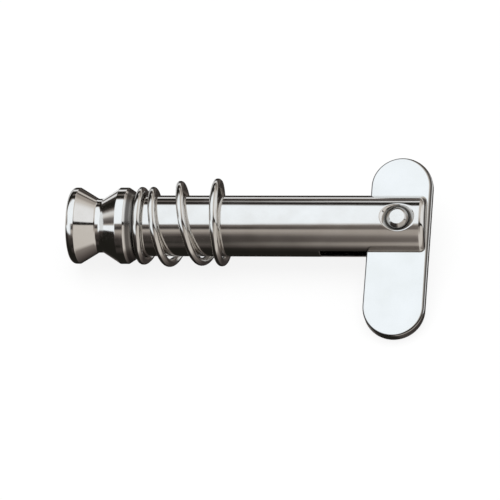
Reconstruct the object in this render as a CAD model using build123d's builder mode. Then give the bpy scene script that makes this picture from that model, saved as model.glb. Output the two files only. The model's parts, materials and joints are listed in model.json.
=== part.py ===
from build123d import *
import os
from math import asin, atan2, cos, hypot, pi, radians, sin, tan

# Toggle pin, in millimetres: a turned pin whose slotted end carries a swinging plate, with a take-up spring.
# X is the pin's axis, from the head towards the tip, and the origin is where the shank leaves the head.
# The pin lies with its axis level, on the widest coil of the spring and the long end of the toggle.

# Shank and its slotted end
shank_diameter = 6.35
shank_length = 30.0
tip_chamfer = 0.4
slot_width = 1.7
slot_depth = 11.1
saw_radius = 30.0

# Head, turned in one with the shank: a rounded crest, a waist and a flange
head_length = 7.4
crest_diameter = 8.0
crest_radius = 0.6
crest_width = 0.95
waist_diameter = 5.65
waist_from_end = 2.91
waist_width = 0.54
waist_blend = 0.45
flange_diameter = 8.0
flange_width = 0.84
seat_angle = 33.0

# Rivet across the slot, with a countersink on each side
rivet_diameter = 2.3
rivet_end_diameter = 1.54
rivet_chamfer_length = 0.35
rivet_below_surface = 0.06
pivot_from_tip = 2.8
countersink_diameter = 3.6
countersink_angle = 90.0

# Toggle plate, hung off-centre on the rivet; the short arm clears the slot's end
toggle_width = 6.4
toggle_long_arm = 12.1
toggle_edge = 0.15
toggle_lean = 1.75
toggle_side_clearance = 0.1
toggle_end_clearance = 1.0
toggle_bore_clearance = 0.05

# Spring of round wire, drawn with flat sides to keep it light; snug at the head and wider at its free end
wire_diameter = 0.9
wire_sides = 9
coil_clearance = 0.02
seat_clearance = 0.02
free_coil_diameter = 9.23
free_coil_lean = 0.7
free_coil_side = 37.0
spring_reach = 8.8
coil_skew_length = 0.15
snug_turns = 1.0
centred_turns = 1.4
points_per_turn = 12
# Share of the reach that the wire has covered after each number of turns: closed, open, wide open, closed.
# The stations between the halves make each coil lean, a little towards the head in front and away behind
coil_stations = [(-0.3, 0.0), (0.0, 0.0), (0.5, 0.01), (0.75, 0.14), (1.0, 0.148), (1.25, 0.205),
                 (1.5, 0.308), (1.75, 0.475), (2.0, 0.476), (2.25, 0.557), (2.5, 0.7), (2.75, 0.875),
                 (3.0, 0.93), (3.25, 0.93), (3.5, 0.941), (3.8, 1.0)]

# Sizes that follow from those above
shank_radius = shank_diameter / 2
wire_radius = wire_diameter / 2
rivet_radius = rivet_diameter / 2
pivot_x = shank_length - pivot_from_tip
slot_end_x = shank_length - slot_depth
toggle_short_arm = slot_depth - pivot_from_tip - toggle_end_clearance
toggle_thickness = slot_width - 2 * toggle_side_clearance
free_coil_play = free_coil_diameter / 2 - wire_diameter - shank_radius
free_coil_offset = free_coil_lean * free_coil_play

# The floor touches the widest coil, and the pin is rolled until the toggle's long end meets that floor
floor_drop = free_coil_diameter / 2 - free_coil_offset * sin(radians(free_coil_side))
end_radius = toggle_width / 2
arm_drop = (toggle_long_arm - end_radius) * cos(radians(toggle_lean)) + end_radius - toggle_edge
face_drop = toggle_thickness / 2
roll = asin(floor_drop / hypot(arm_drop, face_drop)) - atan2(face_drop, arm_drop)

# In the slot's plane, local X is the pin's axis and the toggle's long arm points along local -Y
rivet_axis = Vector(0, -sin(roll), cos(roll))
slot_plane = Plane(origin=(pivot_x, 0, 0), x_dir=(1, 0, 0), z_dir=rivet_axis)
toggle_plane = slot_plane.rotated((0, 0, -toggle_lean))


# Pin: the head and the shank are one turning
with BuildPart() as pin_body:
    head_end_x = -head_length
    crest_end_x = head_end_x + crest_width
    waist_start_x = head_end_x + waist_from_end
    waist_end_x = waist_start_x + waist_width
    crest_r = crest_diameter / 2
    waist_r = waist_diameter / 2
    flange_r = flange_diameter / 2
    flange_end_x = -(flange_r - shank_radius) / tan(radians(seat_angle))
    flange_start_x = flange_end_x - flange_width
    with BuildSketch(Plane.XY):
        with BuildLine():
            waist = FilletPolyline(
                (head_end_x, 0),
                (head_end_x, crest_r),
                (crest_end_x, crest_r),
                (waist_start_x, waist_r),
                (waist_end_x, waist_r),
                (flange_start_x, flange_r),
                radius=[crest_radius, 0, waist_blend, waist_blend],
            )
            Polyline(
                waist @ 1,
                (flange_end_x, flange_r),
                (0, shank_radius),
                (shank_length - tip_chamfer, shank_radius),
                (shank_length, shank_radius - tip_chamfer),
                (shank_length, 0),
                waist @ 0,
            )
        make_face()
    revolve(axis=Axis.X)

    # The saw enters from the tip, so the slot ends in a shallow arc
    mouth_x = pivot_from_tip + shank_radius
    bottom_x = slot_end_x - pivot_x
    corner_x = bottom_x + saw_radius - (saw_radius**2 - shank_diameter**2) ** 0.5
    with BuildSketch(slot_plane):
        with BuildLine():
            ThreePointArc((corner_x, shank_diameter), (bottom_x, 0), (corner_x, -shank_diameter))
            Polyline((corner_x, -shank_diameter), (mouth_x, -shank_diameter),
                     (mouth_x, shank_diameter), (corner_x, shank_diameter))
        make_face()
    extrude(amount=slot_width / 2, both=True, mode=Mode.SUBTRACT)

    # Rivet hole through both prongs, countersunk from outside
    with Locations(slot_plane.offset(shank_radius)):
        CounterSinkHole(rivet_radius, countersink_diameter / 2, counter_sink_angle=countersink_angle)
    with Locations(-slot_plane.offset(-shank_radius)):
        CounterSinkHole(rivet_radius, countersink_diameter / 2, counter_sink_angle=countersink_angle)


# Rivet: a plain pin, pressed in the prongs and chamfered by its setting
with BuildPart() as cross_rivet:
    rivet_half = shank_radius - rivet_below_surface
    neck = rivet_half - rivet_chamfer_length
    end_r = rivet_end_diameter / 2
    with BuildSketch(Plane(origin=slot_plane.origin, x_dir=slot_plane.x_dir, z_dir=slot_plane.y_dir)):
        with BuildLine():
            Polyline((0, -rivet_half), (end_r, -rivet_half), (rivet_radius, -neck), (rivet_radius, neck),
                     (end_r, rivet_half), (0, rivet_half), close=True)
        make_face()
    revolve(axis=Axis(slot_plane.origin, slot_plane.z_dir))


# Toggle: a stamped plate with round ends and broken edges
with BuildPart() as toggle:
    with BuildSketch(toggle_plane):
        with Locations((0, (toggle_short_arm - toggle_long_arm) / 2)):
            SlotOverall(toggle_short_arm + toggle_long_arm, toggle_width, rotation=90)
    extrude(amount=toggle_thickness / 2, both=True)
    chamfer(toggle.faces().sort_by(SortBy.AREA)[-2:].edges(), length=toggle_edge)
    with Locations(toggle_plane):
        Hole(rivet_radius + toggle_bore_clearance)


# Spring: the first coil sits in the corner between the flange's cone and the shank
snug_radius = shank_radius + coil_clearance + wire_radius
free_radius = free_coil_diameter / 2 - wire_radius
seat = radians(seat_angle)
seat_x = (wire_radius + seat_clearance - (snug_radius - shank_radius) * cos(seat)) / sin(seat)


def limit_share(share):
    return min(max(share, 0.0), 1.0)


def ease(share):
    return limit_share(share) ** 2 * (3 - 2 * limit_share(share))


def coil_share(turn):
    spans = zip(coil_stations, coil_stations[1:])
    (turn_a, share_a), (turn_b, share_b) = next(span for span in spans if turn <= span[1][0])
    return share_a + (share_b - share_a) * (turn - turn_a) / (turn_b - turn_a)


def wire_point(turn, last_turn):
    opened = 1 - (1 - limit_share((turn - snug_turns) / (last_turn - snug_turns))) ** 3
    radius = snug_radius + (free_radius - snug_radius) * opened
    moved = free_coil_offset * ease(turn - centred_turns)
    side = radians(free_coil_side)
    angle = side + 2 * pi * turn
    skew = coil_skew_length * ease(2 * (turn - snug_turns) + 1)
    x = seat_x + spring_reach * coil_share(turn) - skew * cos(angle - side)
    return (x, radius * cos(angle) + moved * cos(side), radius * sin(angle) + moved * sin(side))


with BuildPart() as spring:
    first_turn = coil_stations[0][0]
    last_turn = coil_stations[-1][0]
    steps = round((last_turn - first_turn) * points_per_turn)
    turns = [first_turn + (last_turn - first_turn) * i / steps for i in range(steps + 1)]
    with BuildLine() as wire_line:
        Spline(*[wire_point(turn, last_turn) for turn in turns])
    with BuildSketch(Plane(origin=wire_line.line @ 0, z_dir=wire_line.line % 0)):
        RegularPolygon(wire_radius, wire_sides)
    sweep()


pin_body.part.label = "pin_body"
cross_rivet.part.label = "cross_rivet"
toggle.part.label = "toggle"
spring.part.label = "spring"

os.makedirs("parts", exist_ok=True)
export_step(pin_body.part, "parts/pin_body.step")
export_step(cross_rivet.part, "parts/cross_rivet.step")
export_step(toggle.part, "parts/toggle.step")
export_step(spring.part, "parts/spring.step")
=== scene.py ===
import json
from math import acos, asin, atan2, cos, hypot, pi, radians, sin, sqrt, tan

import bmesh
import bpy
import numpy as np
from mathutils import Matrix, Vector


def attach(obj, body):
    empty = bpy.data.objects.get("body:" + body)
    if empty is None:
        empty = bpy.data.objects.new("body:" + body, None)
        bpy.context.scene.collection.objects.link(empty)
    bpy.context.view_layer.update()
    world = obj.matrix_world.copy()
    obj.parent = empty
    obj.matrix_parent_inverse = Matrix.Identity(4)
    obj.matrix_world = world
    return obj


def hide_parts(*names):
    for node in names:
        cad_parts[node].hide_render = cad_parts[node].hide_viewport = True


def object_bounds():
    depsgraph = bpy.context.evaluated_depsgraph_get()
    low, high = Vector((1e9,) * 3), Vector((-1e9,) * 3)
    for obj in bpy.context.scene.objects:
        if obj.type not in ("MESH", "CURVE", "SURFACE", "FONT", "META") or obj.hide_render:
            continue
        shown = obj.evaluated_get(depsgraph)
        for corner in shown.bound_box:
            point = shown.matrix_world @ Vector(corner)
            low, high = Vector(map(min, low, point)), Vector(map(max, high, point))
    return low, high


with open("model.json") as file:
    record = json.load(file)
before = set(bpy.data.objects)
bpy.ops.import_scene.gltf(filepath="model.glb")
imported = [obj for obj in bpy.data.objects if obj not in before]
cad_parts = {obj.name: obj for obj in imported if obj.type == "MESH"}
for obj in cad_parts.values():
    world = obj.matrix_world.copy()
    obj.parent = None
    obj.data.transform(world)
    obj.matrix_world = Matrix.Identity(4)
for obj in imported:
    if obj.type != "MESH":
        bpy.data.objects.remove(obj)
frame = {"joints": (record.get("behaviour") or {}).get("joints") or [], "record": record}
cad_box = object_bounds()

# Toggle pin. Lengths are in millimetres and become metres when a point is made.
MM = 0.001

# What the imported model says: the pivot, the axis of its rivet and the size of the shank
pivot = next(joint for joint in frame["joints"] if joint["name"] == "toggle_pivot")
shank = next(mount for mount in frame["record"]["mounts"] if mount["name"] == "shank")
PIVOT_X = pivot["pos_m"][0] / MM
SHANK_RADIUS = shank["dims"]["r_mm"]
SHANK_LENGTH = shank["dims"]["length_mm"]
PIN_AXIS = Vector((1, 0, 0))
RIVET_AXIS = Vector(pivot["axis"]).normalized()
SIDE_AXIS = RIVET_AXIS.cross(PIN_AXIS)

# Turned head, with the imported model's sizes
HEAD_LENGTH = 7.4
CREST_RADIUS = 4.0
CREST_ROUNDING = 0.6
CREST_WIDTH = 0.95
WAIST_RADIUS = 2.825
WAIST_FROM_END = 2.91
WAIST_WIDTH = 0.54
WAIST_BLEND = 0.45
FLANGE_RADIUS = 4.0
FLANGE_WIDTH = 0.84
SEAT_ANGLE = radians(33)
# Its smallest roundings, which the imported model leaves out
CREST_EDGE = 0.25
FLANGE_EDGE = 0.12
ROOT_BLEND = 0.1

# Slotted end
HALF_SLOT = 0.85
SLOT_DEPTH = 11.1
SLOT_END_X = SHANK_LENGTH - SLOT_DEPTH
SAW_RADIUS = 30.0
COUNTERSINK_RADIUS = 1.8
# On the countersink's cone, a point is this much higher than it is far from the rivet's axis
COUNTERSINK_DROP = SHANK_RADIUS - COUNTERSINK_RADIUS
# Its small roundings: the tip's, and the broken edges of the slot and of the countersink, outside and inside
TIP_ROUNDING = 0.6
SLOT_EDGE = 0.08
COUNTERSINK_EDGE = 0.09
COUNTERSINK_CONE_EDGE = 0.0675

# Rivet
RIVET_RADIUS = 1.15
RIVET_END_RADIUS = 0.77
RIVET_BELOW_SURFACE = 0.06
RIVET_HALF = SHANK_RADIUS - RIVET_BELOW_SURFACE
RIVET_CHAMFER = 0.35

# Toggle plate
TOGGLE_SIDE_CLEARANCE = 0.1
TOGGLE_END_CLEARANCE = 1.0
TOGGLE_BORE_CLEARANCE = 0.05
TOGGLE_HALF_THICKNESS = HALF_SLOT - TOGGLE_SIDE_CLEARANCE
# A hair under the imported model's 3.2, so that the finer outline stays inside its facets
TOGGLE_END_RADIUS = 3.199
TOGGLE_LONG_ARM = 12.1
TOGGLE_SHORT_ARM = PIVOT_X - SLOT_END_X - TOGGLE_END_CLEARANCE
TOGGLE_LEAN = radians(1.75)
TOGGLE_BORE = RIVET_RADIUS + TOGGLE_BORE_CLEARANCE
# Its edge is rounded all round, more on the tip's side, and most at that side's corner by the short arm
TOGGLE_ROUNDING = 0.18
TOGGLE_WORN_SIDE = 0.07
TOGGLE_WORN_CORNER = 0.17

# Spring
WIRE_RADIUS = 0.45
# The round wire is drawn a hair thinner, so that it stays inside the flat-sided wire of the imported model
WIRE_DRAWN = 0.43
COIL_CLEARANCE = 0.02
FREE_COIL_DIAMETER = 9.23
FREE_COIL_RADIUS = FREE_COIL_DIAMETER / 2 - WIRE_RADIUS
FREE_COIL_LEAN = 0.7
FREE_COIL_OFFSET = FREE_COIL_LEAN * (FREE_COIL_RADIUS - WIRE_RADIUS - SHANK_RADIUS)
FREE_COIL_SIDE = radians(37)
SPRING_REACH = 8.8
COIL_SKEW = 0.15
SNUG_TURNS = 1.0
CENTRED_TURNS = 1.4
KNOTS_PER_TURN = 12
# Share of the reach that the wire has covered after each number of turns
COIL_STATIONS = ((-0.3, 0.0), (0.0, 0.0), (0.5, 0.01), (0.75, 0.14), (1.0, 0.148), (1.25, 0.205),
                 (1.5, 0.308), (1.75, 0.475), (2.0, 0.476), (2.25, 0.557), (2.5, 0.7), (2.75, 0.875),
                 (3.0, 0.93), (3.25, 0.93), (3.5, 0.941), (3.8, 1.0))

# Making a piece: points nearer than the weld, in metres, become one, and a steeper edge than this shows sharp
WELD = 2e-7
SHARP_EDGE = radians(35)


def pin_point(x, side, height):
    """A point in the pin's own frame: along its axis, across it in the slot's plane and along the rivet."""
    return (PIN_AXIS * x + SIDE_AXIS * side + RIVET_AXIS * height) * MM


def linear(hex_colour):
    """An sRGB hex colour as linear red, green, blue and a full alpha."""
    shares = [int(hex_colour[i:i + 2], 16) / 255 for i in (0, 2, 4)]
    return [s / 12.92 if s <= 0.04045 else ((s + 0.055) / 1.055) ** 2.4 for s in shares] + [1.0]


def spread(start, end, steps):
    """Evenly spaced values from start to end."""
    return [start + (end - start) * i / steps for i in range(steps + 1)]


def rounded_profile(corners, steps=8):
    """A turned profile through corners of (along, radius, rounding), each rounding drawn as an arc."""
    line = []
    for k, (along, radius, rounding) in enumerate(corners):
        here = Vector((along, radius))
        if not rounding:
            line.append(here)
            continue
        back = (Vector(corners[k - 1][:2]) - here).normalized()
        on = (Vector(corners[k + 1][:2]) - here).normalized()
        half = back.angle(on) / 2
        centre = here + (back + on).normalized() * rounding / sin(half)
        start = (here + back * rounding / tan(half) - centre).normalized()
        end = (here + on * rounding / tan(half) - centre).normalized()
        line += [centre + start.slerp(end, share) * rounding for share in spread(0, 1, steps)]
    return line


def lay(bm, rows, closed=False):
    """Faces between neighbouring rows of points; closed joins the last point of a row to its first."""
    laid = [[bm.verts.new(point) for point in row] for row in rows]
    count = len(rows[0])
    for near, far in zip(laid, laid[1:]):
        for i in range(count if closed else count - 1):
            k = (i + 1) % count
            bm.faces.new((near[i], near[k], far[k], far[i]))
    return laid


def broken_edge(outer, edge, inner, steps=4):
    """Points over a worn edge, from one face to the other."""
    return [outer * (1 - t) ** 2 + edge * 2 * t * (1 - t) + inner * t * t for t in spread(0, 1, steps)]


def make_piece(name, bm, node, body, material):
    """One piece of the pin from its faces, welded, shaded smooth and set in the place of its node."""
    bmesh.ops.remove_doubles(bm, verts=bm.verts, dist=WELD)
    bmesh.ops.recalc_face_normals(bm, faces=bm.faces)
    for edge in bm.edges:
        edge.smooth = edge.calc_face_angle(0.0) < SHARP_EDGE
    for face in bm.faces:
        face.smooth = True
    mesh = bpy.data.meshes.new(name)
    bm.to_mesh(mesh)
    bm.free()
    mesh.materials.append(material)
    piece = bpy.data.objects.new(name, mesh)
    bpy.context.scene.collection.objects.link(piece)
    even = piece.modifiers.new("Even shading", "WEIGHTED_NORMAL")
    even.keep_sharp = True
    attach(piece, body)
    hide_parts(node)


# Materials

# Tones of the steel: two where it is polished; then painted shade for the tip's end, the seat cone, the
# plate's edge and the rivet
POLISHED_BAR = ("D6D3CF", "DEDCD9")
POLISHED_SHEET = ("DAD9D6", "E1E0DE")
BRIGHT_WIRE = ("CFCCC8", "D9D7D3")
TIP_END_SHADE = "5E5A56"
SEAT_SHADE = "4A4643"
PLATE_EDGE_SHADE = "524E4B"
RIVET_CORNER_SHADE = "3E3A37"
# Noise keeps mostly between these values
NOISE_SPAN = (0.3, 0.7)


def add(tree, kind, inputs=None, stops=None, **settings):
    """A node with its settings; inputs are values or the sockets that feed it, stops are a ramp's colours."""
    node = tree.nodes.new(kind)
    for name, value in settings.items():
        setattr(node, name, value)
    for key, value in (inputs or {}).items():
        if isinstance(value, bpy.types.NodeSocket):
            tree.links.new(value, node.inputs[key])
        else:
            node.inputs[key].default_value = value
    if stops:
        elements = node.color_ramp.elements
        while len(elements) < len(stops):
            elements.new(1.0)
        for element, (place, colour) in zip(elements, stops):
            element.position = place
            element.color = linear(colour) if isinstance(colour, str) else (colour, colour, colour, 1.0)
    return node


def empty_tree(owner):
    """The node tree of a new material or world, with nothing in it."""
    owner.use_nodes = True
    owner.node_tree.nodes.clear()
    return owner.node_tree


def metal_surface(tree, colour, roughness, normal):
    """What every metal here ends in."""
    shader = add(tree, "ShaderNodeBsdfPrincipled",
                 {"Metallic": 1.0, "Base Color": colour, "Roughness": roughness, "Normal": normal})
    add(tree, "ShaderNodeOutputMaterial", {"Surface": shader.outputs["BSDF"]})


def streaks(tree, place, scale, detail):
    """Noise that is drawn out into lines, because it is scaled less along them than across."""
    drawn_out = add(tree, "ShaderNodeVectorMath", {0: place, 1: scale}, operation="MULTIPLY")
    noise = add(tree, "ShaderNodeTexNoise", {"Vector": drawn_out.outputs[0], "Scale": 1.0, "Detail": detail})
    return noise.outputs["Fac"]


def tone_and_shine(tree, cloud, tones, wear, roughness):
    """The metal's colour, between two tones that follow the cloud, and its roughness, between two values
    that follow the wear. Both of these are noise."""
    least, most = NOISE_SPAN
    tone = add(tree, "ShaderNodeValToRGB", {"Fac": cloud}, stops=[(least, tones[0]), (most, tones[1])])
    shine = add(tree, "ShaderNodeMapRange", {"Value": wear, "From Min": least, "From Max": most,
                                             "To Min": roughness[0], "To Max": roughness[1]})
    return tone.outputs["Color"], shine.outputs[0]


def shade_round_rivet(tree, place, bright, stops, span=4.0):
    """The metal's colour, darkened by painted shade in the corner round the rivet. The stops say
    how much of it shows at each distance from the rivet's axis, out to the span, in mm."""
    rivet_centre = (PIVOT_X * MM, 0, 0)
    from_pivot = add(tree, "ShaderNodeVectorMath", {0: place, 1: rivet_centre}, operation="SUBTRACT")
    across = add(tree, "ShaderNodeVectorMath", {0: from_pivot.outputs[0], 1: RIVET_AXIS},
                 operation="CROSS_PRODUCT")
    distance = add(tree, "ShaderNodeVectorMath", {0: across.outputs[0]}, operation="LENGTH")
    share = add(tree, "ShaderNodeMath", {0: distance.outputs["Value"], 1: span * MM}, operation="DIVIDE")
    corner_shade = add(tree, "ShaderNodeValToRGB", {"Fac": share.outputs[0]},
                stops=[(reach / span, amount) for reach, amount in stops])
    return add(tree, "ShaderNodeMix", {"Factor": corner_shade.outputs["Color"], "A": bright, "B": linear(RIVET_CORNER_SHADE)},
               data_type="RGBA").outputs["Result"]


def turned_polished_stainless():
    """Stainless bar, drawn, turned at the head and polished: a mirror with fine lines along the shank
    and round the head, over a slow waviness that makes its reflections waver."""
    material = bpy.data.materials.new("turned_polished_stainless")
    tree = empty_tree(material)
    place = add(tree, "ShaderNodeTexCoord").outputs["Object"]
    along = add(tree, "ShaderNodeSeparateXYZ", {0: place}).outputs["X"]
    # Turning marks go round the head, a real 0.05 mm apart, drawn 0.12 mm apart so that they show
    turning = streaks(tree, place, (1 / (0.12 * MM), 60.0, 60.0), detail=2.0)
    # Draw lines of the bar run along the shank, about 6 mm long and 0.16 mm apart, with finer ones between
    drawing = streaks(tree, place, (1 / (6 * MM), 1 / (0.16 * MM), 1 / (0.16 * MM)), detail=3.0)
    # The marks give way to the lines over the seat's cone, between the head and the shank
    on_head = add(tree, "ShaderNodeMapRange", {"Value": along, "From Min": -1.2 * MM, "From Max": 0.2 * MM,
                                               "To Min": 1.0, "To Max": 0.0})
    lines = add(tree, "ShaderNodeMix", {"Factor": on_head.outputs[0], "A": drawing, "B": turning},
                data_type="FLOAT").outputs[0]
    # Hand polishing leaves a waviness, about 4 mm long and 0.012 mm deep, and slow clouds in tone and shine
    waves = add(tree, "ShaderNodeTexNoise", {"Vector": place, "Scale": 1 / (4 * MM), "Detail": 1.0})
    cloud = add(tree, "ShaderNodeTexNoise", {"Vector": place, "Scale": 1 / (2.2 * MM),
                                            "Detail": 4.0}).outputs["Fac"]
    tone, shine = tone_and_shine(tree, cloud, POLISHED_BAR, cloud, (0.03, 0.08))
    polished = add(tree, "ShaderNodeMath", {0: lines, 1: 0.05, 2: shine}, operation="MULTIPLY_ADD")
    slow = add(tree, "ShaderNodeBump", {"Height": waves.outputs["Fac"], "Strength": 1.0,
                                        "Distance": 0.012 * MM})
    fine = add(tree, "ShaderNodeBump", {"Height": lines, "Strength": 1.0, "Distance": 0.0012 * MM,
                                        "Normal": slow.outputs["Normal"]})
    # The tip is faced off; painted shade makes its end darker than its sides
    tip_shade = add(tree, "ShaderNodeMapRange", {"Value": along, "From Min": (SHANK_LENGTH - 0.14) * MM,
                                             "From Max": (SHANK_LENGTH - 0.06) * MM})
    bar = add(tree, "ShaderNodeMix", {"Factor": tip_shade.outputs[0], "A": tone, "B": linear(TIP_END_SHADE)},
              data_type="RGBA")
    # The cone that seats the spring is out of the polishing wheel's reach and stays as turned, which makes it
    # dull;
    # its dark colour is painted shade from the spring's first coil. The stops say how much at each place
    # along the pin, in mm
    before_cone, past_cone = -1.5, 0.5
    by_cone = add(tree, "ShaderNodeMapRange", {"Value": along, "From Min": before_cone * MM,
                                               "From Max": past_cone * MM})
    stops = ((-1.16, 0.0), (-1.0, 0.9), (-0.76, 0.9), (-0.6, 0.7), (-0.44, 0.9), (-0.05, 0.9), (0.1, 0.0))
    seat_shade_and_dullness = add(tree, "ShaderNodeValToRGB", {"Fac": by_cone.outputs[0]},
                    stops=[((x - before_cone) / (past_cone - before_cone), amount) for x, amount in stops])
    cone = add(tree, "ShaderNodeMix", {"Factor": seat_shade_and_dullness.outputs["Color"], "A": bar.outputs["Result"],
                                       "B": linear(SEAT_SHADE)}, data_type="RGBA")
    dull_cone = add(tree, "ShaderNodeMath", {0: seat_shade_and_dullness.outputs["Color"], 1: 0.2, 2: polished.outputs[0]},
                    operation="MULTIPLY_ADD")
    # The head's end is faced off, and only lightly buffed
    end = add(tree, "ShaderNodeMapRange",
              {"Value": along, "From Min": (0.04 - HEAD_LENGTH) * MM, "From Max": (0.01 - HEAD_LENGTH) * MM,
               "To Min": 0.0, "To Max": 0.42})
    rough = add(tree, "ShaderNodeMath", {0: dull_cone.outputs[0], 1: end.outputs[0]}, operation="ADD")
    # Painted shade in the countersink, round the rivet's hole
    metal = shade_round_rivet(tree, place, cone.outputs["Result"],
                            [(0.0, 0.0), (0.9, 0.0), (1.1, 0.6), (1.22, 0.55), (1.4, 0.08), (1.6, 0.0)])
    metal_surface(tree, metal, rough.outputs[0], fine.outputs["Normal"])
    return material


def stamped_tumbled_stainless():
    """Stainless sheet, stamped, tumbled and polished: bright flat faces with a faint peel, and cut walls
    with lines through the thickness, dull where the sheet broke away from the punch."""
    material = bpy.data.materials.new("stamped_tumbled_stainless")
    tree = empty_tree(material)
    place = add(tree, "ShaderNodeTexCoord").outputs["Object"]
    # Its parts are the way round the outline and the height in mm, and 1 on the cut wall
    cut_place = add(tree, "ShaderNodeAttribute", attribute_name="cut_place").outputs["Vector"]
    cut = add(tree, "ShaderNodeSeparateXYZ", {0: cut_place}).outputs
    # Shear lines of the punch cross the wall, about 0.12 mm apart
    shear = streaks(tree, cut_place, (1 / 0.12, 0.5, 0.0), detail=2.0)
    # Tumbling leaves a soft peel, about 0.5 mm across, and slow clouds in tone and shine
    peel = add(tree, "ShaderNodeTexNoise", {"Vector": place, "Scale": 1 / (0.5 * MM), "Detail": 2.0})
    cloud = add(tree, "ShaderNodeTexNoise", {"Vector": place, "Scale": 1 / (3 * MM),
                                            "Detail": 4.0}).outputs["Fac"]
    sheet, shine = tone_and_shine(tree, cloud, POLISHED_SHEET, cloud, (0.08, 0.14))
    # A thin dark line of painted shade runs round each face, on the plate's rounded edge. The stops say how
    # dark at each height in mm from the plate's middle
    height = add(tree, "ShaderNodeMath", {0: cut["Y"]}, operation="ABSOLUTE")
    edge_shade = add(tree, "ShaderNodeValToRGB", {"Fac": height.outputs[0]},
                 stops=[(0.66, 0.0), (0.69, 1.0), (0.735, 1.0), (0.75, 0.0)])
    colour = add(tree, "ShaderNodeMix", {"Factor": edge_shade.outputs["Color"], "A": sheet,
                                         "B": linear(PLATE_EDGE_SHADE)}, data_type="RGBA")
    # The lower part of the wall broke away instead of being cut, which leaves it duller
    broken = add(tree, "ShaderNodeMapRange", {"Value": cut["Y"], "From Min": -0.1, "From Max": -0.3,
                                              "To Min": 0.0, "To Max": 0.16})
    dull = add(tree, "ShaderNodeMath", {0: broken.outputs[0], 1: cut["Z"]}, operation="MULTIPLY")
    rough = add(tree, "ShaderNodeMath", {0: shine, 1: dull.outputs[0]}, operation="ADD")
    skin = add(tree, "ShaderNodeBump", {"Height": peel.outputs["Fac"], "Strength": 1.0,
                                        "Distance": 0.0009 * MM})
    walls = add(tree, "ShaderNodeMath", {0: shear, 1: cut["Z"]}, operation="MULTIPLY")
    lines = add(tree, "ShaderNodeBump", {"Height": walls.outputs[0], "Strength": 1.0, "Distance": 0.003 * MM,
                                         "Normal": skin.outputs["Normal"]})
    metal_surface(tree, colour.outputs["Result"], rough.outputs[0], lines.outputs["Normal"])
    return material


def drawn_rivet_stainless():
    """Stainless rod, drawn and set cold: bright, with faint dents from the setting tool."""
    material = bpy.data.materials.new("drawn_rivet_stainless")
    tree = empty_tree(material)
    place = add(tree, "ShaderNodeTexCoord").outputs["Object"]
    # The tool's dents are about 0.6 mm across
    dents = add(tree, "ShaderNodeTexNoise", {"Vector": place, "Scale": 1 / (0.6 * MM),
                                             "Detail": 3.0}).outputs["Fac"]
    tone, rough = tone_and_shine(tree, dents, POLISHED_BAR, dents, (0.09, 0.17))
    dented = add(tree, "ShaderNodeBump", {"Height": dents, "Strength": 1.0, "Distance": 0.003 * MM})
    # Painted shade on the rivet's chamfer ring
    metal = shade_round_rivet(tree, place, tone,
                            [(0.0, 0.0), (0.77, 0.0), (0.84, 0.35), (1.0, 0.3), (1.15, 0.7)])
    metal_surface(tree, metal, rough, dented.outputs["Normal"])
    return material


def drawn_spring_wire():
    """Stainless spring wire, drawn cold through dies: a satin mirror with lines along its length."""
    material = bpy.data.materials.new("drawn_spring_wire")
    tree = empty_tree(material)
    wire_place = add(tree, "ShaderNodeAttribute", attribute_name="wire_place").outputs["Vector"]
    # Die lines, about 0.05 mm apart round the wire and 5 mm long
    drawing = streaks(tree, wire_place, (1 / 5.0, 9.0, 9.0), detail=3.0)
    cloud = add(tree, "ShaderNodeTexNoise", {"Vector": wire_place, "Scale": 0.8,
                                             "Detail": 3.0}).outputs["Fac"]
    tone, rough = tone_and_shine(tree, cloud, BRIGHT_WIRE, drawing, (0.06, 0.15))
    lines = add(tree, "ShaderNodeBump", {"Height": drawing, "Strength": 1.0, "Distance": 0.002 * MM})
    metal_surface(tree, tone, rough, lines.outputs["Normal"])
    return material


# Pin body: head and shank turned in one, with a sawn slot and two countersunk rivet holes

# A window is left open round each countersink: how far it reaches along the pin and to each side
WINDOW_REACH = 2.0
WINDOW_SIDE = 1.75
# The shank's fine faces begin this far before the slot
BEFORE_SLOT = 0.9
# How finely each stretch is drawn
SIDE_STEPS = 16
WINDOW_STEPS = 28
WINDOW_ROWS = 28
BEFORE_STEPS = 6
TIP_STEPS = 8
GAP_STEPS = 12
SPOKE_STEPS = 6
END_WALL_STEPS = 12
TIP_EDGE_STEPS = 10


def slot_end(side):
    """Where the saw stopped, at this distance from the slot's middle."""
    return SLOT_END_X + SAW_RADIUS - sqrt(SAW_RADIUS ** 2 - side ** 2)


def edge_angle(height, radius=SHANK_RADIUS):
    """The angle from the rivet's axis at which a circle of this radius is at this height."""
    return acos(height / radius)


def round_rivet(radius, angle):
    """Along and across the pin, at this distance from the rivet's axis and in this direction round it."""
    return PIVOT_X + radius * cos(angle), radius * sin(angle)


def rim_radius(angle):
    """How far the countersink's rim is from the rivet's axis, in this direction round it."""
    drop = COUNTERSINK_DROP
    a = 1 + sin(angle) ** 2
    return (sqrt(drop ** 2 - a * (drop ** 2 - SHANK_RADIUS ** 2)) - drop) / a


# Angles round a prong, from the rivet's axis. The middle ones have the window between them
PRONG_EDGE = edge_angle(HALF_SLOT + SLOT_EDGE)
WINDOW_ANGLE = asin(WINDOW_SIDE / SHANK_RADIUS)
LEFT = spread(-PRONG_EDGE, -WINDOW_ANGLE, SIDE_STEPS)
MIDDLE = spread(-WINDOW_ANGLE, WINDOW_ANGLE, WINDOW_STEPS)
RIGHT = spread(WINDOW_ANGLE, PRONG_EDGE, SIDE_STEPS)
COLUMNS = LEFT + MIDDLE[1:-1] + RIGHT
# Angles over the slot, from one prong to the other
GAP = spread(PRONG_EDGE, pi - PRONG_EDGE, GAP_STEPS)

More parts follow.
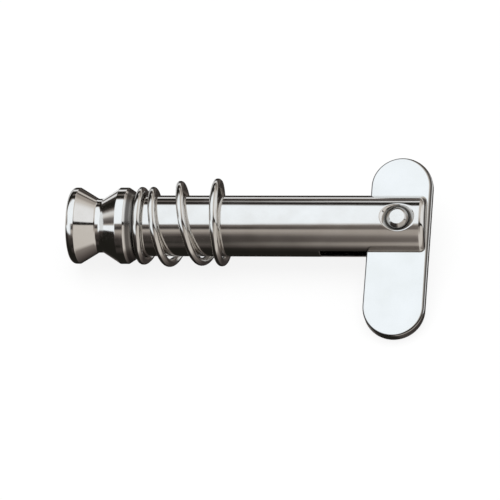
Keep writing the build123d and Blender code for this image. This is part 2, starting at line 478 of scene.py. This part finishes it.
# Stations along the shank, as (along, radius): from the slot's corner to the window, beside it, and over the
# tip's rounding
PLAIN_END = SLOT_END_X - BEFORE_SLOT
CORNER_X = slot_end(sqrt(SHANK_RADIUS ** 2 - HALF_SLOT ** 2))
WINDOW_START = PIVOT_X - WINDOW_REACH
WINDOW_END = PIVOT_X + WINDOW_REACH
TIP_BEND = SHANK_LENGTH - TIP_ROUNDING
TIP_RADIUS = SHANK_RADIUS - TIP_ROUNDING
BEFORE = [(x, SHANK_RADIUS) for x in spread(CORNER_X - SLOT_EDGE, WINDOW_START, BEFORE_STEPS)]
BESIDE = [(x, SHANK_RADIUS) for x in spread(WINDOW_START, WINDOW_END, WINDOW_ROWS)]
ROUNDED = [(TIP_BEND + TIP_ROUNDING * sin(turn), SHANK_RADIUS - TIP_ROUNDING * (1 - cos(turn)))
           for turn in spread(0, pi / 2, TIP_STEPS)]


def wall_point(x, side, sign):
    """A point on the shank's outside over or under this place of the slot's plane."""
    return pin_point(x, side, sign * sqrt(SHANK_RADIUS ** 2 - side ** 2))


def prong_point(place, sign):
    """A place on the upper prong, or for a sign of -1 the one across from it on the lower prong."""
    x, side, height = place
    return pin_point(x, side, sign * height)


def prong_row(x, radius, angles, sign):
    """Points round a prong's outside; the angles draw in with the radius, so that they end at the slot."""
    share = edge_angle(HALF_SLOT + SLOT_EDGE, radius) / PRONG_EDGE
    return [pin_point(x, radius * sin(a * share), sign * radius * cos(a * share)) for a in angles]


def turned_profile():
    """The head and the plain shank as (along, radius), without the point in the middle of the head's end."""
    waist_start = WAIST_FROM_END - HEAD_LENGTH
    flange_end = -(FLANGE_RADIUS - SHANK_RADIUS) / tan(SEAT_ANGLE)
    return rounded_profile([
        (-HEAD_LENGTH, 0.0, 0),
        (-HEAD_LENGTH, CREST_RADIUS, CREST_ROUNDING),
        (CREST_WIDTH - HEAD_LENGTH, CREST_RADIUS, CREST_EDGE),
        (waist_start, WAIST_RADIUS, WAIST_BLEND),
        (waist_start + WAIST_WIDTH, WAIST_RADIUS, WAIST_BLEND),
        (flange_end - FLANGE_WIDTH, FLANGE_RADIUS, FLANGE_EDGE),
        (flange_end, FLANGE_RADIUS, FLANGE_EDGE),
        (0.0, SHANK_RADIUS, ROOT_BLEND),
        (PLAIN_END, SHANK_RADIUS, 0),
    ])[1:]


def countersink_spokes(sign):
    """Lines of points from the window's frame over the countersink's broken rim, down its cone and through
    the rivet's hole to the slot."""
    xs = [x for x, radius in BESIDE]
    window = [(WINDOW_START, a) for a in MIDDLE[:-1]] + [(x, WINDOW_ANGLE) for x in xs[:-1]]
    window += [(WINDOW_END, a) for a in MIDDLE[:0:-1]] + [(x, -WINDOW_ANGLE) for x in xs[:0:-1]]
    spokes = []
    for x, a in window:
        across, side = x - PIVOT_X, SHANK_RADIUS * sin(a)
        angle = atan2(side, across)
        rim = rim_radius(angle)
        away = spread(hypot(across, side), rim + COUNTERSINK_EDGE, SPOKE_STEPS)
        wall = [wall_point(*round_rivet(radius, angle), sign) for radius in away]
        sharp, inner, foot = [pin_point(*round_rivet(radius, angle), sign * (COUNTERSINK_DROP + radius))
                              for radius in (rim, rim - COUNTERSINK_CONE_EDGE, RIVET_RADIUS)]
        hole = pin_point(*round_rivet(RIVET_RADIUS, angle), sign * HALF_SLOT)
        spokes.append(wall + broken_edge(wall[-1], sharp, inner)[1:] + [foot, hole])
    return spokes


def slot_edge_line():
    """The upper prong's edge along the slot: down one side, across the tip and back. Each station has the
    place on the outside, the sharp corner that is broken, and the place on the slot's wall. The stations
    across the tip are also given by themselves."""
    line = []
    for x, radius in BEFORE + BESIDE[1:] + ROUNDED:
        angle = edge_angle(HALF_SLOT + SLOT_EDGE, radius)
        side = sqrt(radius ** 2 - HALF_SLOT ** 2)
        # The sharp corner is broken square to its own line; the first station is at the slot's end
        if line:
            turn = asin(min(1.0, max(0.0, (x - TIP_BEND) / TIP_ROUNDING)))
            slope = Vector((cos(turn), -sin(turn) * radius / side)).normalized()
            edge, inner = (x, side), (x + slope.y * SLOT_EDGE, side - slope.x * SLOT_EDGE)
        else:
            edge, inner = (CORNER_X, side), (slot_end(side - SLOT_EDGE), side - SLOT_EDGE)
        line.append(((x, radius * sin(angle), radius * cos(angle)), (*edge, HALF_SLOT), (*inner, HALF_SLOT)))
    side = sqrt(TIP_RADIUS ** 2 - HALF_SLOT ** 2)
    outer_side = sqrt(TIP_RADIUS ** 2 - (HALF_SLOT + SLOT_EDGE) ** 2)
    tip = [((SHANK_LENGTH, outer_side * s, HALF_SLOT + SLOT_EDGE), (SHANK_LENGTH, side * s, HALF_SLOT),
            (SHANK_LENGTH - SLOT_EDGE, side * s, HALF_SLOT)) for s in spread(1, -1, TIP_EDGE_STEPS)[1:-1]]
    back = [tuple((x, -side, height) for x, side, height in station) for station in reversed(line)]
    return line + tip + back, tip


def lay_prong(bm, sign):
    """One prong's faces: the upper one for a sign of 1, the lower one for -1."""
    # Its outside, left open where the countersink goes, and the countersink
    for stations, angles in (([(PLAIN_END, SHANK_RADIUS)] + BEFORE, COLUMNS), (BESIDE, LEFT), (BESIDE, RIGHT),
                             (BESIDE[-1:] + ROUNDED, COLUMNS)):
        lay(bm, [prong_row(x, radius, angles, sign) for x, radius in stations])
    spokes = countersink_spokes(sign)
    lay(bm, list(zip(*spokes)), closed=True)

    # Its broken edge along the slot and its flat end
    line, tip = slot_edge_line()
    lay(bm, [broken_edge(*[prong_point(place, sign) for place in station]) for station in line])
    end = prong_row(SHANK_LENGTH, TIP_RADIUS, COLUMNS, sign) + [prong_point(outer, sign) for outer, *_ in tip]
    bm.faces.new([bm.verts.new(point) for point in end])

    # The slot's flat wall, with the rivet's hole in it
    inner_side = line[0][2][1]
    rim = [prong_point(inner, sign) for *_, inner in line]
    rim += [pin_point(slot_end(inner_side * s), inner_side * s, sign * HALF_SLOT)
            for s in spread(-1, 1, END_WALL_STEPS)[1:-1]]
    edges = []
    for loop in (rim, [spoke[-1] for spoke in spokes]):
        verts = [bm.verts.new(point) for point in loop]
        edges += [bm.edges.new((verts[i - 1], verts[i])) for i in range(len(verts))]
    bmesh.ops.triangle_fill(bm, edges=edges, use_beauty=True)


def lay_slot_end(bm):
    """The slot's end between the prongs, and the shank's wall that leads to it on both sides."""
    corner = edge_angle(HALF_SLOT)
    angles = list(zip(GAP, spread(corner, pi - corner, GAP_STEPS)))
    for way in (1, -1):
        plain, strip, inner_row = [], [], []
        for outer_angle, angle in angles:
            side, height = SHANK_RADIUS * sin(angle), SHANK_RADIUS * cos(angle)
            outer_side, outer_height = SHANK_RADIUS * sin(outer_angle), SHANK_RADIUS * cos(outer_angle)
            outer = pin_point(slot_end(side) - SLOT_EDGE, way * outer_side, outer_height)
            edge = pin_point(slot_end(side), way * side, height)
            inner = pin_point(slot_end(side - SLOT_EDGE), way * (side - SLOT_EDGE), height)
            plain.append((pin_point(PLAIN_END, way * outer_side, outer_height), outer))
            strip.append(broken_edge(outer, edge, inner))
            inner_row.append((side - SLOT_EDGE, height))
        lay(bm, plain)
        lay(bm, strip)
    lay(bm, [[pin_point(slot_end(side * s), side * s, height) for s in spread(1, -1, END_WALL_STEPS)]
             for side, height in inner_row])


def pin_body_faces():
    bm = bmesh.new()
    half_ring = COLUMNS[:-1] + GAP[:-1]
    ring = half_ring + [pi + angle for angle in half_ring]
    turned = lay(bm, [[pin_point(x, radius * sin(a), radius * cos(a)) for a in ring]
                      for x, radius in turned_profile()], closed=True)
    bm.faces.new(turned[0])
    lay_prong(bm, 1)
    lay_prong(bm, -1)
    lay_slot_end(bm)
    return bm


# Rivet: a plain rod, chamfered where it was set

RIVET_SIDES = 72
# The roundings on both sides of its chamfer
RIVET_END_EDGE = 0.06
RIVET_NECK_EDGE = 0.12


def cross_rivet_faces():
    bm = bmesh.new()
    neck = RIVET_HALF - RIVET_CHAMFER
    profile = rounded_profile([
        (-RIVET_HALF, 0.0, 0),
        (-RIVET_HALF, RIVET_END_RADIUS, RIVET_END_EDGE),
        (-neck, RIVET_RADIUS, RIVET_NECK_EDGE),
        (neck, RIVET_RADIUS, RIVET_NECK_EDGE),
        (RIVET_HALF, RIVET_END_RADIUS, RIVET_END_EDGE),
        (RIVET_HALF, 0.0, 0),
    ], steps=4)[1:-1]
    angles = spread(0, 2 * pi, RIVET_SIDES)[:-1]
    laid = lay(bm, [[pin_point(*round_rivet(radius, a), along) for a in angles] for along, radius in profile],
               closed=True)
    bm.faces.new(laid[0])
    bm.faces.new(laid[-1])
    return bm


# Toggle: a plate with round ends, hung off its middle on the rivet

TOGGLE_END_STEPS = 40
TOGGLE_SIDE_STEPS = 12
TOGGLE_EDGE_STEPS = 6
TOGGLE_BORE_EDGE = 0.05
# An extra row this far inside the rounded edge keeps the shading of the faces flat
TOGGLE_FACE_ROW = 0.05
# Past this turn of the rounding, in radians, the edge counts as the cut wall
CUT_WALL_TURN = 1.0


def toggle_faces():
    bm = bmesh.new()
    cut_place = bm.verts.layers.float_vector.new("cut_place")
    arm_x, arm_y = -sin(TOGGLE_LEAN), -cos(TOGGLE_LEAN)
    top = TOGGLE_HALF_THICKNESS

    def plate_point(across, along, height):
        """across the plate, along its long arm and through its thickness"""
        return pin_point(PIVOT_X - across * arm_y + along * arm_x, across * arm_x + along * arm_y, height)

    # Each station of the outline is a centre along the arm, and the way out from it
    far = TOGGLE_LONG_ARM - TOGGLE_END_RADIUS
    near = TOGGLE_END_RADIUS - TOGGLE_SHORT_ARM
    outline = [(far, cos(a), sin(a)) for a in spread(0, pi, TOGGLE_END_STEPS)]
    outline += [(s, -1, 0) for s in spread(far, near, TOGGLE_SIDE_STEPS)[1:-1]]
    outline += [(near, cos(a), sin(a)) for a in spread(pi, 2 * pi, TOGGLE_END_STEPS)]
    outline += [(s, 1, 0) for s in spread(near, far, TOGGLE_SIDE_STEPS)[1:-1]]

    def out_from(station, reach=TOGGLE_END_RADIUS):
        centre, out_across, out_along = station
        return out_across * reach, centre + out_along * reach

    def rounding_at(station):
        """The edge is rounded more on the tip's side, most of all by the short arm."""
        upper = (TOGGLE_LONG_ARM - out_from(station)[1]) / (TOGGLE_LONG_ARM + TOGGLE_SHORT_ARM)
        return TOGGLE_ROUNDING + max(0.0, station[1]) * (TOGGLE_WORN_SIDE + TOGGLE_WORN_CORNER * upper)

    def outline_row(turn, sign, inset=0.0):
        row = []
        for station in outline:
            rounding = rounding_at(station)
            reach = TOGGLE_END_RADIUS - rounding * (1 - sin(turn)) - inset
            row.append(plate_point(*out_from(station, reach), sign * (top - rounding * (1 - cos(turn)))))
        return row

    def bore_row(radius, height):
        row = []
        for station in outline:
            across, along = out_from(station)
            a = atan2(along, across)
            row.append(plate_point(radius * cos(a), radius * sin(a), height))
        return row

    # From the bore over a face to its edge, down the cut wall and back. With each row goes what the material
    # reads: its height, and 1 on the cut wall
    turns = spread(0, pi / 2, TOGGLE_EDGE_STEPS)
    rows = [(bore_row(TOGGLE_BORE, 0.0), 0.0, 0.0),
            (bore_row(TOGGLE_BORE, top - TOGGLE_BORE_EDGE), 0.0, 0.0),
            (bore_row(TOGGLE_BORE + TOGGLE_BORE_EDGE, top), top, 0.0),
            (outline_row(0.0, 1, inset=TOGGLE_FACE_ROW), top, 0.0)]
    for sign, order in ((1, turns), (-1, turns[::-1])):
        for turn in order:
            height = sign * (top - TOGGLE_ROUNDING * (1 - cos(turn)))
            rows.append((outline_row(turn, sign), height, float(turn > CUT_WALL_TURN)))
    rows += [(outline_row(0.0, -1, inset=TOGGLE_FACE_ROW), -top, 0.0),
             (bore_row(TOGGLE_BORE + TOGGLE_BORE_EDGE, -top), -top, 0.0),
             (bore_row(TOGGLE_BORE, TOGGLE_BORE_EDGE - top), 0.0, 0.0),
             (bore_row(TOGGLE_BORE, 0.0), 0.0, 0.0)]
    laid = lay(bm, [row for row, height, wall in rows], closed=True)
    length = 0.0
    for i, station in enumerate(outline):
        if i:
            across, along = out_from(station)
            past_across, past_along = out_from(outline[i - 1])
            length += hypot(across - past_across, along - past_along)
        for (row, height, wall), verts in zip(rows, laid):
            verts[i][cut_place] = (length, height, wall)
    return bm


# Spring: round wire, snug against the flange's cone and wider at its free end

WIRE_SIDES = 28
STEPS_PER_KNOT = 5
# The cut ends are lightly broken: how far in from the end each station is, and how much thinner it is
WIRE_END_STATIONS = ((0.0, 0.06), (0.018, 0.018), (0.06, 0.0))


def limit_share(share):
    """The share, kept between 0 and 1."""
    return min(max(share, 0.0), 1.0)


def ease(share):
    """The share with a gentle start and a gentle stop."""
    return limit_share(share) ** 2 * (3 - 2 * limit_share(share))


def wire_knot(turn, last_turn):
    """The middle of the wire after this number of turns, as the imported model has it."""
    places, shares = zip(*COIL_STATIONS)
    snug_radius = SHANK_RADIUS + COIL_CLEARANCE + WIRE_RADIUS
    seat_x = (WIRE_RADIUS + COIL_CLEARANCE - (snug_radius - SHANK_RADIUS) * cos(SEAT_ANGLE)) / sin(SEAT_ANGLE)
    opened = 1 - (1 - limit_share((turn - SNUG_TURNS) / (last_turn - SNUG_TURNS))) ** 3
    radius = snug_radius + (FREE_COIL_RADIUS - snug_radius) * opened
    moved = FREE_COIL_OFFSET * ease(turn - CENTRED_TURNS)
    angle = FREE_COIL_SIDE + 2 * pi * turn
    skew = COIL_SKEW * ease(2 * (turn - SNUG_TURNS) + 1)
    x = seat_x + SPRING_REACH * np.interp(turn, places, shares) - skew * cos(2 * pi * turn)
    y = radius * cos(angle) + moved * cos(FREE_COIL_SIDE)
    z = radius * sin(angle) + moved * sin(FREE_COIL_SIDE)
    return x, y, z


def smooth_line(knots, steps):
    """Points on the smoothest curve through the knots, steps from each knot to the next."""
    knots = np.array(knots)
    count = len(knots)
    held = np.zeros((count, count))
    pull = np.zeros((count, 3))
    held[0, 0] = held[-1, -1] = 1.0
    for k in range(1, count - 1):
        held[k, k - 1:k + 2] = 1, 4, 1
        pull[k] = 6 * (knots[k - 1] - 2 * knots[k] + knots[k + 1])
    bend = np.linalg.solve(held, pull)
    points = []
    for k in range(count - 1):
        for t in np.arange(steps) / steps:
            s = 1 - t
            bowed = (s ** 3 - s) * bend[k] + (t ** 3 - t) * bend[k + 1]
            points.append(s * knots[k] + t * knots[k + 1] + bowed / 6)
    return points + [knots[-1]]


def wire_stations():
    """The wire from one cut end to the other: its middle, its direction and its radius."""
    first_turn, last_turn = COIL_STATIONS[0][0], COIL_STATIONS[-1][0]
    steps = round((last_turn - first_turn) * KNOTS_PER_TURN)
    knots = [wire_knot(turn, last_turn) for turn in spread(first_turn, last_turn, steps)]
    points = [Vector(point) for point in smooth_line(knots, STEPS_PER_KNOT)]
    before, after = points[:1] + points[:-1], points[1:] + points[-1:]
    tangents = [(on - back).normalized() for back, on in zip(before, after)]
    start, end = [[(points[k] + tangents[k] * inward * way, tangents[k], WIRE_DRAWN - inset)
                   for inward, inset in WIRE_END_STATIONS] for k, way in ((0, 1), (-1, -1))]
    between = [(point, tangent, WIRE_DRAWN) for point, tangent in zip(points[1:-1], tangents[1:-1])]
    return start + between + end[::-1]


def spring_faces():
    bm = bmesh.new()
    wire_place = bm.verts.layers.float_vector.new("wire_place")
    angles = spread(0, 2 * pi, WIRE_SIDES)[:-1]
    stations = wire_stations()
    # With each row goes what the material reads: the length of wire up to there in mm, and the way round it
    rows, places, length = [], [], 0.0
    for k, (middle, tangent, radius) in enumerate(stations):
        length += (middle - stations[k - 1][0]).length if k else 0.0
        outward = Vector((0, middle.y, middle.z))
        outward = (outward - tangent * outward.dot(tangent)).normalized()
        beside = tangent.cross(outward)
        rows.append([(middle + (outward * cos(a) + beside * sin(a)) * radius) * MM for a in angles])
        places.append([(length, cos(a), sin(a)) for a in angles])
    laid = lay(bm, rows, closed=True)
    for verts, row in zip(laid, places):
        for vert, place in zip(verts, row):
            vert[wire_place] = place
    bm.faces.new(laid[0])
    bm.faces.new(laid[-1])
    return bm


make_piece("Pin_body", pin_body_faces(), "pin_body", "pin",
           turned_polished_stainless())
make_piece("Cross_rivet", cross_rivet_faces(), "cross_rivet", "pin",
           drawn_rivet_stainless())
make_piece("Toggle", toggle_faces(), "toggle", "toggle",
           stamped_tumbled_stainless())
make_piece("Spring", spring_faces(), "spring", "pin", drawn_spring_wire())


# Camera: it looks down on the pin, a little from the tip's side, as in the photograph

VIEW_HEIGHT = radians(53)
VIEW_TURN = radians(9)
VIEW_ROLL = radians(0.2)
VIEW_DISTANCE = 325.0
# It looks at a point this far along the pin and this far below its axis, as the picture has it
VIEW_CENTRE_X = 11.525
VIEW_CENTRE_BELOW = 2.49
LENS_LENGTH = 224.9
SENSOR_WIDTH = 36.0
# Nearest and furthest that it sees, in metres
CLIP_START, CLIP_END = 0.01, 5.0


def make_camera():
    up = Vector((0, sin(VIEW_HEIGHT), cos(VIEW_HEIGHT)))
    front = Vector((0, -cos(VIEW_HEIGHT), sin(VIEW_HEIGHT)))
    back = front * cos(VIEW_TURN) + PIN_AXIS * sin(VIEW_TURN)
    right = PIN_AXIS * cos(VIEW_TURN) - front * sin(VIEW_TURN)
    target = PIN_AXIS * VIEW_CENTRE_X - up * VIEW_CENTRE_BELOW
    rolled_right = right * cos(VIEW_ROLL) + up * sin(VIEW_ROLL)
    rolled_up = up * cos(VIEW_ROLL) - right * sin(VIEW_ROLL)
    lens = bpy.data.cameras.new("Camera")
    lens.sensor_width = SENSOR_WIDTH
    lens.lens = LENS_LENGTH
    lens.clip_start = CLIP_START
    lens.clip_end = CLIP_END
    camera = bpy.data.objects.new("Camera", lens)
    place = Matrix.Translation((target + back * VIEW_DISTANCE) * MM)
    camera.matrix_world = place @ Matrix((rolled_right, rolled_up, back)).transposed().to_4x4()
    bpy.context.scene.collection.objects.link(camera)
    bpy.context.scene.camera = camera


# Studio, as the polished metal shows it: a wide soft box overhead, light cards and a dark room

SOFT_BOX, PAPER, CARD, WARM_CARD = "F0F7FD", "E2E4E6", "C4C0BB", "9C9690"
WALL, DIM_WALL, ROOM, SHADE, TABLE = "7C7672", "6A6460", "554F4C", "363230", "1E1D1A"
# Round the pin, in degrees: 0 is level in front, 90 overhead, 180 level behind, and under 0 is below.
# The room in front is dark by the head and gets lighter towards the tip, so the shank's lower half does too
BY_THE_HEAD = ((-180, WALL), (-177, PAPER), (-171, PAPER), (-164, SHADE), (-142, TABLE), (-42, TABLE),
               (-30, SHADE), (-22, SHADE), (-13, TABLE), (-4, SHADE), (12, SHADE), (20, ROOM), (27, WALL),
               (33, WARM_CARD), (38, WARM_CARD), (43, SHADE), (48, SHADE), (53, DIM_WALL), (57, WALL),
               (60, SOFT_BOX), (138, SOFT_BOX), (142, WALL), (146, TABLE), (155, TABLE), (159, DIM_WALL),
               (162, DIM_WALL), (166, TABLE), (178, TABLE), (180, WALL))
BY_THE_TIP = ((-180, WALL), (-177, PAPER), (-171, PAPER), (-164, SHADE), (-142, TABLE), (-62, TABLE),
              (-44, SHADE), (-36, ROOM), (-28, WALL), (-21, WARM_CARD), (-14, WARM_CARD), (-6, DIM_WALL),
              (5, DIM_WALL), (14, WALL), (24, WARM_CARD), (38, WARM_CARD), (44, DIM_WALL), (54, DIM_WALL),
              (60, WARM_CARD), (66, SOFT_BOX), (134, SOFT_BOX), (139, ROOM), (142, TABLE), (153, TABLE),
              (158, PAPER), (161, PAPER), (165, SHADE), (174, ROOM), (180, WALL))
# Just past the tip's side of the pin: a dark gap in front of the soft box, and dim cards round it
TIP_GAP = ((-180, CARD), (-176, CARD), (-170, SHADE), (-150, ROOM), (-132, SHADE), (-95, SHADE), (-72, ROOM),
           (-56, DIM_WALL), (-43, WALL), (-28, CARD), (20, CARD), (38, WARM_CARD), (50, WALL), (56, SHADE),
           (66, SHADE), (73, WARM_CARD), (92, CARD), (150, CARD), (160, WARM_CARD), (169, WARM_CARD),
           (173, ROOM), (176, ROOM), (180, CARD))
# Further to the tip's side: one wide pale card with the soft box's frame across it
TIP_SIDE = ((-180, CARD), (-166, CARD), (-158, ROOM), (-148, SHADE), (-112, SHADE), (-96, ROOM),
            (-75, DIM_WALL), (-58, WALL), (-46, WARM_CARD), (-30, CARD), (54, CARD), (56.5, TABLE),
            (67, TABLE), (69.5, PAPER), (154, PAPER), (163, CARD), (169, CARD), (173, WALL), (176, WALL),
            (180, CARD))
# Beyond the tip: the same, with pale paper lying behind and below
TIP_END = ((-180, PAPER), (-126, PAPER), (-116, ROOM), (-75, DIM_WALL), (-58, WALL), (-46, WARM_CARD),
           (-30, CARD), (54, CARD), (56.5, TABLE), (67, TABLE), (69.5, PAPER), (154, PAPER), (163, CARD),
           (169, CARD), (174, PAPER), (180, PAPER))
# On the head's side: the soft box reaches lower in front, and there are strips of pale paper behind
HEAD_SIDE = ((-180, SHADE), (-175, SHADE), (-171, PAPER), (-166, PAPER), (-160, ROOM), (-155, ROOM),
             (-149, PAPER), (-128, PAPER), (-118, WALL), (-106, SHADE), (-95, TABLE), (-30, TABLE),
             (5, SHADE), (22, ROOM), (30, SOFT_BOX), (130, SOFT_BOX), (140, WALL), (148, TABLE),
             (170, TABLE), (180, SHADE))
# At the end of the room beyond the head: a small window low in front, a dim wall and pale paper behind
HEAD_END = ((-180, CARD), (-150, CARD), (-135, WARM_CARD), (-115, DIM_WALL), (-95, TABLE), (0, TABLE),
            (12, SHADE), (18, SOFT_BOX), (50, SOFT_BOX), (62, WARM_CARD), (74, ROOM), (86, ROOM),
            (104, DIM_WALL), (120, CARD), (130, CARD), (142, WALL), (152, ROOM), (165, WALL), (180, CARD))
# Each takes over from those before it between these two leanings of the direction along the pin, where -1 is
# straight past the head, 0 is square to the pin and 1 is straight past the tip
TAKEOVERS = ((BY_THE_TIP, -0.19, -0.09), (TIP_GAP, -0.04, 0.1), (TIP_SIDE, 0.5, 0.62), (TIP_END, 0.61, 0.7),
             (HEAD_SIDE, -0.22, -0.34), (HEAD_END, -0.8, -0.97))

WHITE = (1, 1, 1, 1)
# How strongly the metal shows the studio, and how strongly plain white lights the rest
MIRRORED_STRENGTH = 1.35
DIFFUSE_STRENGTH = 0.8


def make_studio():
    """The world: the camera sees it white, the metal mirrors the studio, and the rest gets plain white."""
    world = bpy.data.worlds.new("Studio")
    bpy.context.scene.world = world
    tree = empty_tree(world)
    direction = add(tree, "ShaderNodeTexCoord").outputs["Generated"]
    leaning = add(tree, "ShaderNodeSeparateXYZ", {0: direction}).outputs
    to_front = add(tree, "ShaderNodeMath", {0: leaning["Y"], 1: -1.0}, operation="MULTIPLY")
    turn = add(tree, "ShaderNodeMath", {0: leaning["Z"], 1: to_front.outputs[0]}, operation="ARCTAN2")
    turn_share = add(tree, "ShaderNodeMapRange", {"Value": turn.outputs[0], "From Min": -pi, "From Max": pi})

    def light_round(ramp):
        """The light from each direction round the pin, as this ramp has it."""
        return add(tree, "ShaderNodeValToRGB", {"Fac": turn_share.outputs[0]},
                   stops=[((angle + 180) / 360, colour) for angle, colour in ramp]).outputs["Color"]

    studio = light_round(BY_THE_HEAD)
    for ramp, begin, full in TAKEOVERS:
        share = add(tree, "ShaderNodeMapRange", {"Value": leaning["X"], "From Min": begin, "From Max": full},
                    interpolation_type="SMOOTHSTEP")
        studio = add(tree, "ShaderNodeMix", {"Factor": share.outputs[0], "A": studio, "B": light_round(ramp)},
                     data_type="RGBA").outputs["Result"]
    ray = add(tree, "ShaderNodeLightPath").outputs
    mirrored = add(tree, "ShaderNodeBackground", {"Color": studio, "Strength": MIRRORED_STRENGTH})
    diffuse = add(tree, "ShaderNodeBackground", {"Color": WHITE, "Strength": DIFFUSE_STRENGTH})
    white = add(tree, "ShaderNodeBackground", {"Color": WHITE, "Strength": 1.0})
    lit = add(tree, "ShaderNodeMixShader",
              {0: ray["Is Glossy Ray"], 1: diffuse.outputs[0], 2: mirrored.outputs[0]})
    seen = add(tree, "ShaderNodeMixShader", {0: ray["Is Camera Ray"], 1: lit.outputs[0], 2: white.outputs[0]})
    add(tree, "ShaderNodeOutputWorld", {"Surface": seen.outputs[0]})


# Soft light from above, which gives the floor its shadow; sizes and place in metres

LAMP_PLACE = (0.01, 0.05, 0.5)
LAMP_SIZE = (0.5, 0.4)
LAMP_POWER = 1.6


def make_lamp():
    soft = bpy.data.lights.new("Soft_light", "AREA")
    soft.shape = "RECTANGLE"
    soft.size, soft.size_y = LAMP_SIZE
    soft.energy = LAMP_POWER
    lamp = bpy.data.objects.new("Soft_light", soft)
    lamp.location = LAMP_PLACE
    lamp.visible_glossy = False
    bpy.context.scene.collection.objects.link(lamp)


# Floor: pale, and kept out of the metal's reflections because the photographed pin mirrors something dark

FLOOR_PAPER = "F2F2F2"
# Half its side in metres, and how far it goes to plain white for the camera
FLOOR_REACH = 4
FLOOR_GLOW = 0.85


def matt_white_paper():
    """Uncoated white paper: matt, with a faint soft shadow, and for the camera almost as white as the
    background."""
    material = bpy.data.materials.new("matt_white_paper")
    tree = empty_tree(material)
    paper = add(tree, "ShaderNodeBsdfDiffuse", {"Color": linear(FLOOR_PAPER)})
    glow = add(tree, "ShaderNodeEmission", {"Color": WHITE, "Strength": 1.0})
    ray = add(tree, "ShaderNodeLightPath").outputs
    share = add(tree, "ShaderNodeMath", {0: ray["Is Camera Ray"], 1: FLOOR_GLOW}, operation="MULTIPLY")
    pale = add(tree, "ShaderNodeMixShader", {0: share.outputs[0], 1: paper.outputs[0], 2: glow.outputs[0]})
    add(tree, "ShaderNodeOutputMaterial", {"Surface": pale.outputs[0]})
    return material


def make_floor():
    height = cad_box[0][2]
    corners = [(x * FLOOR_REACH, y * FLOOR_REACH, height) for x, y in ((-1, -1), (1, -1), (1, 1), (-1, 1))]
    mesh = bpy.data.meshes.new("Floor")
    mesh.from_pydata(corners, [], [(0, 1, 2, 3)])
    mesh.materials.append(matt_white_paper())
    floor = bpy.data.objects.new("Floor", mesh)
    bpy.context.scene.collection.objects.link(floor)
    floor.visible_glossy = False


make_camera()
make_studio()
make_lamp()
make_floor()
bpy.context.scene.view_settings.view_transform = "Standard"
